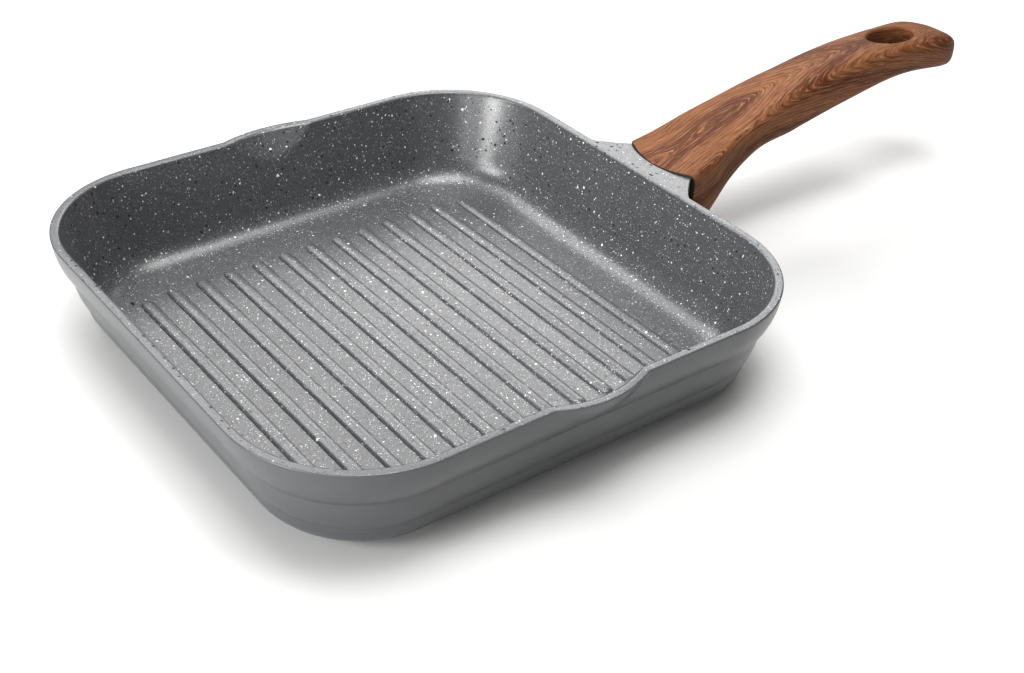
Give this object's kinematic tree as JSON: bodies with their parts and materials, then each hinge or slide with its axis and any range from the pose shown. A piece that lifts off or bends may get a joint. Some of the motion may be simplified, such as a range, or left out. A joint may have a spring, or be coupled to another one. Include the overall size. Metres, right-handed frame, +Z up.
{
  "type": "square grill pan",
  "caption": "Square cast grill pan with a ribbed floor, pouring spouts on opposite sides and a curved wood-effect handle with a hanging hole.",
  "frame": {"origin": "middle of the pan's base, on the plane it rests on", "axes": "+X along the handle away from the pan, +Z up out of the pan, +Y towards one pouring spout"},
  "size_m": [0.4422, 0.2494, 0.0732],
  "materials": {
    "coating": "grey stone-effect non-stick coating with white and black specks inside, plain satin grey outside, on cast aluminium",
    "disc_steel": "brushed",
    "wood_effect": "walnut wood-effect print, semi-matt",
    "screw_steel": "bright zinc plated"
  },
  "bodies": {
    "root": {"pan_body": "coating", "induction_disc": "disc_steel", "handle": "wood_effect", "handle_screw": "screw_steel", "plain_washer": "screw_steel", "spring_washer": "screw_steel"}
  },
  "joints": []
}
